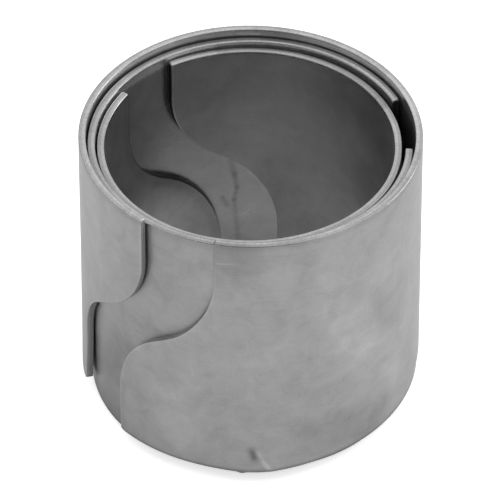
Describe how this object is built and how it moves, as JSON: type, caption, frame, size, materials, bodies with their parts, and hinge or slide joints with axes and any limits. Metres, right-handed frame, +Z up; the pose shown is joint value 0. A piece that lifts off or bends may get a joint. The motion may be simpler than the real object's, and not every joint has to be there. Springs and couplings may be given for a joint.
{
  "type": "nested split repair sleeve",
  "caption": "Nest of rolled spring-steel split sleeves, each with an S-shaped slit from rim to rim, that springs round a pipe or shaft and lines the bore about it.",
  "frame": {"origin": "on the nest's axis, in the plane of the inner sleeve's lower rim, which the nest stands on", "axes": "+Z up along the bore; the outer sleeve's slit faces between -X and -Y, and -Y is the front"},
  "size_m": [0.0574, 0.0574, 0.0522],
  "materials": {
    "outer_steel": "satin, tumbled, faintly mottled",
    "middle_steel": "satin, smooth on the inside",
    "inner_steel": "satin, smooth on the inside"
  },
  "bodies": {
    "inner": {"inner_sleeve": "inner_steel"},
    "middle": {"middle_sleeve": "middle_steel"},
    "outer": {"outer_sleeve": "outer_steel"}
  },
  "joints": [
    {"name": "middle_turn", "type": "hinge", "parent": "inner", "child": "middle", "pos_m": [0, 0, 0.025], "axis": [0, 0, 1], "continuous": true},
    {"name": "outer_slide", "type": "slide", "parent": "middle", "child": "outer", "axis": [0, 0, 1], "range_m": [-0.0022, 0.055]}
  ]
}
